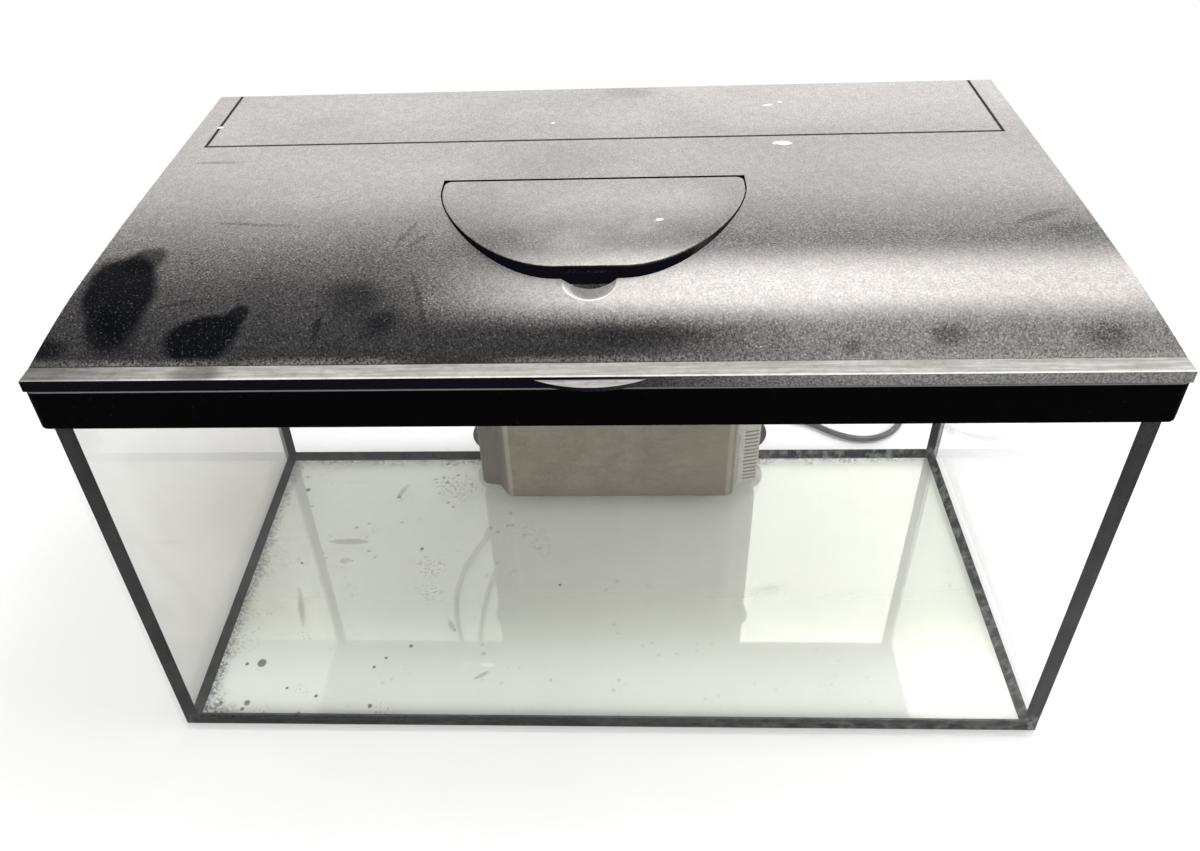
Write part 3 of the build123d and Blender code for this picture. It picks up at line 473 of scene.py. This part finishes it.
def black_sealant():
    """Black silicone, lumpy, with pale lime along its foot that grows towards the right."""
    finish = Finish("black_sealant")
    patches = finish.noise(60, 4)
    tone = finish.mixed(finish.fade(patches, 0.4, 0.8), (0.002, 0.002, 0.0025), (0.01, 0.011, 0.01))
    scale = finish.fade(finish.noise(110, 5, 0.7), 0.42, 0.66) * finish.fade(finish.x, -0.1, 0.27, 0.1, 1.0)
    scale = scale * finish.fade(finish.z, 0.02, 0.009)
    tone = finish.mixed(scale * 0.55, tone, (0.2, 0.21, 0.2))
    lumps = finish.noise(180, 3)
    return finish.surface(
        base_color=tone,
        roughness=finish.fade(patches, 0.3, 0.7, 0.4, 0.6),
        specular_ior_level=0.03,
        normal=finish.bump(lumps, 0.0006),
    )


def frame_plastic():
    """Smooth black plastic, with a painted highlight along its upper edge, a little dust and fine scratches.
    """
    finish = Finish("frame_plastic")
    up = finish.facing_up()
    # A painted highlight along the frame's upper edge
    painted_edge_highlight = finish.fade(finish.z, 0.3045, 0.3051) * finish.fade(up, 0.2, 0.8)
    dust = finish.fade(finish.noise(260, 4, 0.7), 0.62, 0.85) * 0.08
    tone = finish.mixed(dust, (0.0008, 0.0008, 0.0009), (0.1, 0.098, 0.095))
    tone = finish.mixed(painted_edge_highlight * 0.6, tone, (0.2, 0.196, 0.19))
    scratches = finish.noise(1, 3, 0.5, 0.0, finish.stretched(30, 900, 900))
    return finish.surface(
        base_color=tone,
        roughness=finish.fade(scratches, 0.35, 0.7, 0.34, 0.46),
        specular_ior_level=0.004,
        normal=finish.bump(finish.noise(900, 2), 0.00003),
    )


# Marks on the hood's three plastic parts: middle x and y, half sizes, turn, strength and softness of edge
hood_wipes = [
    (-0.259, -0.103, 0.024, 0.036, 14, 0.95, 0.3),
    (-0.252, -0.079, 0.013, 0.016, -30, 0.7, 0.4),
    (-0.262, -0.126, 0.014, 0.012, 10, 0.85, 0.4),
    (-0.207, -0.13, 0.023, 0.011, 12, 0.97, 0.3),
    (-0.19, -0.121, 0.009, 0.006, 40, 0.85, 0.4),
    (-0.128, -0.11, 0.026, 0.018, -12, 0.55, 0.8),
    (-0.112, -0.125, 0.016, 0.01, 20, 0.7, 0.8),
    (-0.294, -0.134, 0.018, 0.006, 0, 0.8, 0.6),
    (-0.198, -0.0445, 0.042, 0.0024, -5, 0.3, 0.8),
    (-0.244, 0.0375, 0.021, 0.0028, 0, 0.28, 0.6),
    (-0.106, -0.055, 0.0025, 0.02, -22, 0.3, 0.6),
    (-0.098, -0.062, 0.0028, 0.012, -38, 0.28, 0.5),
    (-0.093, -0.11, 0.002, 0.028, 18, 0.35, 0.6),
    (-0.146, -0.127, 0.003, 0.01, -20, 0.6, 0.7),
    (-0.222, -0.1135, 0.019, 0.0016, 12, 0.35, 0.7),
    (0.25, -0.0485, 0.023, 0.0045, 24, 0.28, 0.5),
    (0.264, -0.06, 0.018, 0.007, 6, 0.22, 0.6),
    (0.184, -0.132, 0.013, 0.0055, 0, 0.5, 0.7),
    (0.264, -0.133, 0.022, 0.008, 0, 0.45, 0.8),
    (0.135, -0.136, 0.007, 0.004, 0, 0.4, 0.8),
    (0.03, -0.132, 0.06, 0.007, 0, 0.6, 0.9),
]
panel_wipes = [
    (0.02, 0.142, 0.026, 0.014, -8, 0.16, 0.7),
    (-0.185, 0.1, 0.04, 0.02, 12, 0.1, 0.9),
    (0.14, 0.07, 0.05, 0.012, 4, 0.08, 0.9),
]
flap_wipes = [
    (-0.045, -0.066, 0.009, 0.014, 28, 0.12, 0.6),
    (-0.021, -0.054, 0.008, 0.012, 10, 0.1, 0.7),
    (0.012, -0.066, 0.014, 0.01, 0, 0.1, 0.8),
    (0.045, -0.045, 0.02, 0.024, 0, 0.07, 0.9),
]
flap_smears = [
    (0.0, -0.035, 0.09, 0.055, 0, 1.0, 0.9),
    (0.055, -0.035, 0.04, 0.04, 0, 0.6, 0.9),
    (0.01, -0.07, 0.085, 0.017, 0, 0.8, 0.9),
    (-0.016, -0.075, 0.012, 0.014, 20, 0.4, 0.8),
    (0.028, -0.056, 0.014, 0.012, -15, 0.5, 0.8),
    (0.036, -0.05, 0.003, 0.002, 20, 1.0, 0.5),
    (0.01, -0.05, 0.01, 0.014, 0, 0.3, 0.9),
]


# Middle and half size of the finger scoop, the groove round the rear panel, and the top of the ledge
scoop_x, scoop_y = -0.0012, -0.104
scoop_wide, scoop_deep = 0.015, 0.0112
groove_front, groove_side = 0.0627, 0.26035
ledge_top = 0.313


def groove_darkening(finish):
    """Darker in the groove round the rear service panel."""
    across = finish.size(finish.x)
    front = finish.fade(finish.size(finish.y - groove_front), 0.0017, 0.0008)
    front = front * finish.fade(across, 0.262, 0.2612)
    sides = finish.fade(finish.size(across - groove_side), 0.0016, 0.0008)
    sides = sides * finish.fade(finish.y, 0.0618, 0.0625)
    return front.most(sides)


def hood_plastic(name, wipes, smears=(), bare_below=0.3, scoop=0.0):
    """Fine textured black plastic under pale dust, which hands have wiped away in places; the paleness also
    paints the sheen of the light on its level top, and there are painted highlights on the ledge and, where
    asked, painted light in the finger scoop.
    """
    finish = Finish(name)
    up = finish.facing_up()
    warp = (finish.noise(24, 4) - 0.5) * 0.8
    depth = finish.node("MapRange", {"Value": finish.y + warp * 0.02, 1: -0.155, 2: 0.155}, clamp=True)
    # Pale dust and painted sheen, paler towards the rear, where the level top mirrors the light
    dust_and_sheen = finish.curve(
        depth,
        [
            (0.0, 0.015), (0.1, 0.04), (0.16, 0.07), (0.25, 0.155), (0.36, 0.3),
            (0.45, 0.42), (0.56, 0.49), (0.72, 0.52), (0.86, 0.58), (1.0, 0.6),
        ],
    )
    cloud = finish.noise(5, 5, 0.6, 0.8)
    dust_and_sheen = dust_and_sheen * finish.fade(cloud, 0.25, 0.8, 0.86, 1.14) * finish.fade(up, 0.05, 0.5)
    # Painted sheen, stronger towards the right front
    dust_and_sheen = dust_and_sheen + finish.fade(finish.x, -0.02, 0.16, 0.0, 0.165) * finish.fade(finish.y, -0.06, -0.1)
    # A painted band of sheen along the brow, which fades out towards the left
    ridge = finish.y + warp * 0.006
    band = finish.fade(ridge, -0.13, -0.112) * finish.fade(ridge, -0.068, -0.104)
    band = band * finish.fade(finish.x, -0.12, 0.03) * finish.fade(finish.x, 0.0, 0.26, 0.6, 0.39)
    dust_and_sheen = dust_and_sheen + band * finish.fade(up, 0.4, 0.7)
    dust_and_sheen = dust_and_sheen * finish.fade(finish.z, bare_below, bare_below + 0.0015)
    for x, y, wide, deep, turn, strength, edge in wipes:
        dust_and_sheen = dust_and_sheen * (1 - strength * spot(finish, x, y, wide, deep, turn, edge, warp * 0.7))
    for x, y, wide, deep, turn, strength, edge in smears:
        dust_and_sheen = dust_and_sheen + 0.12 * strength * spot(finish, x, y, wide, deep, turn, edge, warp)
    # Painted light in the finger scoop: a lit crescent on its rim and a faintly paler bowl, as strong as
    # scoop asks
    dish = spot(finish, scoop_x, scoop_y, scoop_wide, scoop_deep, 0, 0.05)
    dish = dish * finish.fade(finish.y, -0.0985, -0.0995)
    lit_side = dish * (1 - spot(finish, scoop_x + 0.0036, scoop_y + 0.0012, 0.0158, 0.0112, 0, 0.2))
    dust_and_sheen = dust_and_sheen + scoop * (0.5 * lit_side + 0.1 * dish * finish.fade(cloud, 0.3, 0.7))
    grain = finish.noise(850, 3, 0.65)
    coarse = finish.noise(190, 3, 0.6)
    # The grain's own speckle, with painted glints of the textured surface in it
    painted_sparkle = (finish.fade(grain, 0.3, 0.7) - 0.5) * finish.fade(dust_and_sheen, 0.05, 0.4, 1.3, 0.42)
    dust_and_sheen = dust_and_sheen * (1 + painted_sparkle)
    dust_and_sheen = dust_and_sheen * finish.fade(coarse, 0.3, 0.7, 0.93, 1.07)
    dust_and_sheen = dust_and_sheen * (1 - 0.8 * groove_darkening(finish))
    tone = finish.mixed(dust_and_sheen.least(1).most(0), (0.0022, 0.0025, 0.0038), (0.635, 0.598, 0.572))
    specks = finish.fade(finish.noise(800, 3, 0.7), 0.58, 0.68) * finish.fade(up, 0.1, 0.5)
    tone = finish.mixed(specks * finish.fade(dust_and_sheen, 0.0, 0.2, 0.06, 0.32), tone, (0.66, 0.62, 0.56))
    # The ledge's level top: pale dust and painted sheen, with rubs in it, and less of it towards the left
    # end and in one spot
    ledge = finish.fade(finish.z, ledge_top + 0.0008, ledge_top - 0.0002)
    ledge = ledge * finish.fade(finish.z, 0.309, 0.31) * finish.fade(up, 0.85, 0.97)
    rubs = finish.noise(1, 4, 0.65, 0.0, finish.stretched(26, 320, 320))
    pale = finish.mixed(finish.fade(rubs, 0.35, 0.7), (0.3, 0.285, 0.262), (0.47, 0.455, 0.43))
    # A painted highlight along the ledge's front edge
    painted_rim_highlight = finish.fade(finish.y, -0.1507, -0.1518) * finish.fade(finish.z, 0.311, 0.3115)
    pale = finish.mixed(painted_rim_highlight, pale, (0.66, 0.65, 0.63))
    ledge_share = finish.fade(finish.x, -0.3, -0.2, 0.35, 0.86) * finish.fade(coarse, 0.2, 0.6, 0.75, 1.0)
    ledge_share = ledge_share * (1 - 0.55 * spot(finish, -0.209, -0.147, 0.02, 0.012, 0, 0.6))
    foot = finish.fade(finish.z, ledge_top + 0.0038, ledge_top)
    foot = foot * finish.fade(finish.z, ledge_top - 0.0005, ledge_top)
    foot = foot * finish.fade(grain, 0.35, 0.62) * finish.fade(finish.y, -0.12, -0.13)
    foot = foot * finish.fade(finish.noise(11, 3), 0.35, 0.65, 0.0, 0.42)
    tone = finish.mixed(ledge * ledge_share, finish.mixed(foot, tone, (0.34, 0.325, 0.3)), pale)
    under = finish.fade(up, -0.3, -0.7)
    lime = finish.mixed(finish.fade(cloud, 0.3, 0.7), (0.2, 0.2, 0.19), (0.3, 0.3, 0.28))
    tone = finish.mixed(under * 0.8, tone, lime)
    return finish.surface(
        base_color=tone,
        roughness=finish.fade(cloud, 0.3, 0.7, 0.4, 0.5),
        specular_ior_level=0.004,
        normal=finish.bump(grain, 0.00022),
    )


def plain_plastic(name, light, dark, roughness, grain_scale=600, grain_depth=0.00005, alpha=1.0):
    """Moulded plastic with faint clouds, fine grain and a little dirt."""
    finish = Finish(name)
    cloud = finish.noise(40, 4)
    tone = finish.mixed(finish.fade(cloud, 0.3, 0.75), light, dark)
    return finish.surface(
        base_color=tone,
        roughness=finish.fade(finish.noise(120, 3), 0.3, 0.7, roughness - 0.06, roughness + 0.06),
        normal=finish.bump(finish.noise(grain_scale, 2), grain_depth),
        alpha=alpha,
    )


filter_middle = 0.0115


def smoky_plastic():
    """Smoky see-through plastic, hazed by years in water, with painted highlights along its front corners,
    painted light on its right side and painted shade on its left.
    """
    finish = Finish("smoky_plastic")
    cloud = finish.noise(13, 5, 0.62, 0.5)
    stains = finish.noise(1, 5, 0.65, 0.0, finish.stretched(45, 45, 90))
    tone = finish.mixed(finish.fade(cloud, 0.3, 0.75), (0.11, 0.094, 0.066), (0.08, 0.069, 0.05))
    tone = finish.mixed(finish.fade(stains, 0.45, 0.75) * 0.3, tone, (0.17, 0.152, 0.12))
    specks = finish.fade(finish.noise(480, 4, 0.7), 0.42, 0.68)
    tone = finish.mixed(specks * 0.4, tone, (0.165, 0.145, 0.115))
    tone = finish.mixed(finish.fade(finish.noise(26, 4, 0.6), 0.45, 0.7) * 0.3, tone, (0.17, 0.15, 0.12))
    tone = finish.mixed(finish.fade(finish.z, 0.036, 0.012) * 0.5, tone, (0.05, 0.044, 0.034))
    # Painted light on the right side
    tone = finish.mixed(finish.fade(finish.x, 0.1085, 0.1125) * 0.75, tone, (0.33, 0.32, 0.285))
    # Painted shade on the left side
    tone = finish.mixed(finish.fade(finish.x, -0.08, -0.088) * 0.55, tone, (0.035, 0.031, 0.024))
    # Painted highlights along the front corners
    aside = finish.size(finish.x - filter_middle)
    corner = finish.fade(aside, 0.0905, 0.0925) * finish.fade(aside, 0.0965, 0.0945)
    corner = corner * finish.fade(finish.y, 0.088, 0.084)
    tone = finish.mixed(corner * 0.14, tone, (0.5, 0.48, 0.43))
    return finish.surface(
        base_color=tone,
        roughness=finish.fade(cloud, 0.3, 0.7, 0.34, 0.48),
        specular_ior_level=0.25,
        alpha=finish.fade(cloud, 0.3, 0.8, 0.9, 0.96),
    )


def metal(name, colour, roughness):
    """Drawn metal, with fine lines along it."""
    finish = Finish(name)
    lines = finish.noise(1, 3, 0.5, 0.0, finish.stretched(2500, 120, 2500))
    return finish.surface(
        base_color=finish.mixed(finish.fade(lines, 0.3, 0.7), colour, tuple(0.8 * c for c in colour)),
        metallic=1.0,
        roughness=finish.fade(lines, 0.3, 0.7, roughness - 0.08, roughness + 0.08),
    )


def foam(name, light, dark, pore_scale, pore_depth):
    """Open foam or fleece: pores or fibres, and dirt that has gathered in them."""
    finish = Finish(name)
    pores = finish.cells(pore_scale)
    dirt = finish.fade(finish.noise(30, 5, 0.65), 0.4, 0.75)
    tone = finish.mixed(finish.fade(pores, 0.1, 0.55), dark, light)
    tone = finish.mixed(dirt * 0.5, tone, (0.14, 0.115, 0.075))
    return finish.surface(
        base_color=tone,
        roughness=finish.fade(pores, 0.1, 0.6, 0.98, 0.85),
        specular_ior_level=0.15,
        normal=finish.bump(pores, pore_depth),
    )


def make_piece(name, shape, finish):
    """Turns a bmesh into an object of the scene."""
    bmesh.ops.recalc_face_normals(shape, faces=shape.faces)
    mesh = bpy.data.meshes.new(name)
    shape.to_mesh(mesh)
    shape.free()
    mesh.materials.append(finish)
    piece = bpy.data.objects.new(name, mesh)
    bpy.context.scene.collection.objects.link(piece)
    return piece


def make_pad(name, node, finish, rounding, slack, step):
    """A filter pad: a block of soft stuff with rounded edges, dented faces and a rough skin."""
    low, high = (Vector(corner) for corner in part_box(node))
    middle = (low + high) / 2
    half = (high - low) / 2
    counts = [max(4, round(2 * size / step)) for size in half]
    shape = bmesh.new()
    grid = {}

    def corner(place):
        if place not in grid:
            unit = Vector([2 * index / count - 1 for index, count in zip(place, counts)])
            point = Vector([u * size for u, size in zip(unit, half)])
            core = [size - rounding for size in half]
            inner = Vector([max(-reach, min(reach, p)) for p, reach in zip(point, core)])
            away = point - inner
            if away.length > 0:
                point = inner + away.normalized() * min(away.length, rounding)
            dent = slack * (0.5 + 0.5 * noise.noise(point * 38 + middle * 9))
            dent += 0.35 * slack * (0.5 + 0.5 * noise.noise(point * 170))
            grid[place] = shape.verts.new(middle + point * (1 - dent / min(half)))
        return grid[place]

    for axis in range(3):
        first, second = [other for other in range(3) if other != axis]
        for end in (0, counts[axis]):
            for i in range(counts[first]):
                for j in range(counts[second]):
                    places = []
                    for di, dj in ((0, 0), (1, 0), (1, 1), (0, 1)):
                        place = [0, 0, 0]
                        place[axis], place[first], place[second] = end, i + di, j + dj
                        places.append(corner(tuple(place)))
                    shape.faces.new(places)
    pad = make_piece(name, shape, finish)
    pad.data.shade_smooth()
    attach(pad, "tank")
    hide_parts(node)


def make_flake(name, body, finish, x, y, wide, deep, turn):
    """A small crumb of dried scale, stuck to the top of the hood."""
    chance = random.Random(name)
    c, s = math.cos(math.radians(turn)), math.sin(math.radians(turn))
    shape = bmesh.new()
    rings = []
    for share, rise in ((1.0, 0.0), (0.86, 0.6), (0.45, 1.0)):
        ring = []
        for index in range(crumb_sides):
            angle = 2 * math.pi * index / crumb_sides
            reach = share * chance.uniform(0.8, 1.12)
            along, across = wide * reach * math.cos(angle), deep * reach * math.sin(angle)
            place = (x + c * along - s * across, y + s * along + c * across, hood_skin + crumb_height * rise)
            ring.append(shape.verts.new(place))
        rings.append(ring)
    for lower, upper in zip(rings, rings[1:]):
        for index in range(crumb_sides):
            following = (index + 1) % crumb_sides
            shape.faces.new((lower[index], lower[following], upper[following], upper[index]))
    shape.faces.new(rings[-1])
    shape.faces.new(rings[0][::-1])
    flake = make_piece(name, shape, finish)
    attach(flake, body)


def paint(name, material):
    """Gives a CAD node its finish."""
    mesh = nodes[name].data
    mesh.materials.clear()
    mesh.materials.append(material)


make_camera()
make_world(background_light)
make_light("rear_light", (0.95, 1.5, 1.45), (0.35, 0.0, 0.3), 2.2, 1.2, 18)
make_light("top_light", (0.62, 0.3, 1.65), (0.15, -0.1, 0.3), 0.9, 0.5, 14, (0.96, 0.98, 1.0))
make_light("front_light", (-0.1, -1.9, 0.95), (0, 0, 0.05), 1.7, 0.8, 44)
make_light("left_light", (-2.0, -0.1, 0.95), (0, 0, 0.1), 1.2, 0.8, 16)
make_light("right_light", (2.0, -0.1, 0.95), (0, 0, 0.1), 1.2, 0.8, 20)
make_floor()

clear_glass = pane_glass("clear_glass", 0.002, 0.014, (0.86, 0.86, 0.82), 0.03, 0.014)
for name in ("front_pane", "rear_pane", "right_pane"):
    paint(name, clear_glass)
left_glass = pane_glass(
    "left_glass", 0.07, 0.12, (0.95, 0.9, 0.74), 0.06, 0.014, left_dirt, soil_colour=(0.3, 0.28, 0.23)
)
paint("left_pane", left_glass)
# The base is paler towards the front: painted light, laid on as a film
base_glass = pane_glass(
    "base_glass", 0.25, 0.31, (0.67, 0.71, 0.565), 0.0, 0.11, base_dirt, 0.48, (0.92, 0.96, 0.87)
)
paint("base_pane", base_glass)
sealant = black_sealant()
for name in ("base_seam", "front_left_seam", "front_right_seam", "rear_left_seam", "rear_right_seam"):
    paint(name, sealant)
paint("top_frame", frame_plastic())
paint("hood", hood_plastic("hood_plastic", hood_wipes, scoop=1.0))
paint("feeding_flap", hood_plastic("flap_plastic", flap_wipes, flap_smears, 0.3448))
paint("rear_panel", hood_plastic("panel_plastic", panel_wipes))
smoky = smoky_plastic()
for name in ("filter_housing", "filter_cover", "outlet_pipe"):
    paint(name, smoky)
pump_black = plain_plastic("pump_plastic", (0.012, 0.012, 0.013), (0.02, 0.02, 0.021), 0.4)
for name in ("pump_body", "pump_cap", "outlet_nozzle", "lamp_inlet"):
    paint(name, pump_black)
paint("impeller", plain_plastic("impeller_plastic", (0.7, 0.7, 0.66), (0.6, 0.6, 0.55), 0.35))
paint("media_basket", plain_plastic("basket_plastic", (0.12, 0.12, 0.12), (0.09, 0.09, 0.09), 0.45))
cup_rubber = plain_plastic("cup_rubber", (0.012, 0.012, 0.012), (0.025, 0.024, 0.022), 0.5)
paint("suction_cups", cup_rubber)
cord_rubber = plain_plastic("cord_rubber", (0.008, 0.008, 0.009), (0.014, 0.014, 0.015), 0.42, 900, 0.00004)
for name in ("cord_gland", "plug_relief"):
    paint(name, cord_rubber)
paint("plug_body", plain_plastic("plug_plastic", (0.01, 0.01, 0.011), (0.016, 0.016, 0.017), 0.38))
steel = metal("steel", (0.62, 0.62, 0.64), 0.28)
for name in ("hood_hinge_pins", "flap_hinge_pins", "lamp_screws", "impeller_shaft"):
    paint(name, steel)
paint("plug_pins", metal("plug_metal", (0.75, 0.68, 0.5), 0.25))
lamp_white = plain_plastic("lamp_plastic", (0.68, 0.68, 0.66), (0.6, 0.6, 0.57), 0.4)
for name in ("lamp_housing", "lamp_end_caps"):
    paint(name, lamp_white)
paint("lamp_lens", plain_plastic("lens_plastic", (0.8, 0.8, 0.78), (0.74, 0.74, 0.72), 0.25, alpha=0.55))
paint("led_board", plain_plastic("board", (0.75, 0.75, 0.72), (0.68, 0.68, 0.65), 0.5))
paint("led_chips", plain_plastic("chip", (0.75, 0.55, 0.08), (0.7, 0.5, 0.07), 0.3))
sponge_foam = foam("sponge_foam", (0.035, 0.08, 0.16), (0.006, 0.014, 0.03), 420, 0.0012)
make_pad("foam_block", "sponge", sponge_foam, 0.004, 0.001, 0.004)
fleece = foam("fleece", (0.7, 0.7, 0.64), (0.42, 0.41, 0.36), 900, 0.0007)
make_pad("fleece_block", "fleece_pad", fleece, 0.008, 0.0022, 0.004)
scale_white = plain_plastic("dried_scale", (0.8, 0.79, 0.75), (0.66, 0.64, 0.59), 0.8, 900, 0.0004)
for name, body, x, y, wide, deep, turn in (
    ("scale_crumb_1", "hood", 0.1185, 0.0505, 0.0062, 0.0033, -6),
    ("scale_crumb_2", "hood", -0.26, 0.094, 0.0022, 0.0013, 20),
    ("scale_crumb_3", "rear_panel", 0.116, 0.113, 0.0038, 0.0012, 14),
    ("scale_crumb_4", "rear_panel", 0.125, 0.118, 0.0018, 0.001, -10),
    ("scale_crumb_5", "rear_panel", -0.03, 0.09, 0.0014, 0.0009, 40),
    ("scale_crumb_6", "flap", 0.0375, -0.0495, 0.0022, 0.0014, 20),
):
    make_flake(name, body, scale_white, x, y, wide, deep, turn)
make_cord(cord_rubber)

settings = bpy.context.scene.view_settings
settings.view_transform = "Standard"
